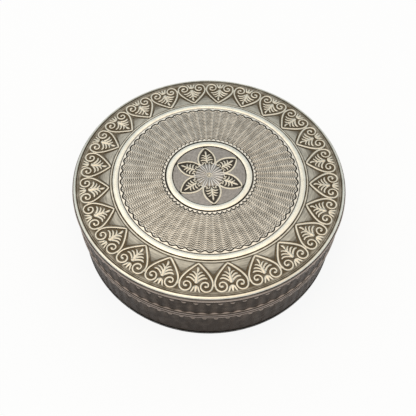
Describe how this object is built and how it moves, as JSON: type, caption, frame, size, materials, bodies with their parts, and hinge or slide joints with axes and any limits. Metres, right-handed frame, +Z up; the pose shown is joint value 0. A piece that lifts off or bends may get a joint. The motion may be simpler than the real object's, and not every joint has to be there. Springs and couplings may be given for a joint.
{
  "type": "round lidded box",
  "caption": "Low round silver box with a lift-off lid, engine-turned walls, a sunray field and a border of palmette hearts round a petalled rosette.",
  "frame": {"origin": "middle of the underside, on the surface that the box stands on", "axes": "+Z up along the axis of the box; -Y towards the picture's viewer, with a heart of the border on each axis"},
  "size_m": [0.08, 0.08, 0.0237],
  "materials": {
    "struck_silver": "struck and engine-turned silver, bright on the high places and oxidised dark in the recesses",
    "turned_silver": "engine-turned silver, toned dark",
    "wire_silver": "plain drawn silver wire, lightly toned",
    "plain_silver": "plain silver sheet, satin from wear"
  },
  "bodies": {
    "base": {"base_floor": "plain_silver", "base_wall": "turned_silver", "base_mouth_wire": "wire_silver", "collar": "plain_silver"},
    "lid": {"lid_mouth_wire": "wire_silver", "lid_wall": "turned_silver", "lid_rim_wire": "wire_silver", "lid_plate": "struck_silver"}
  },
  "joints": [
    {"name": "lid_lift", "type": "slide", "parent": "base", "child": "lid", "axis": [0, 0, 1], "range_m": [0, 0.04]}
  ]
}
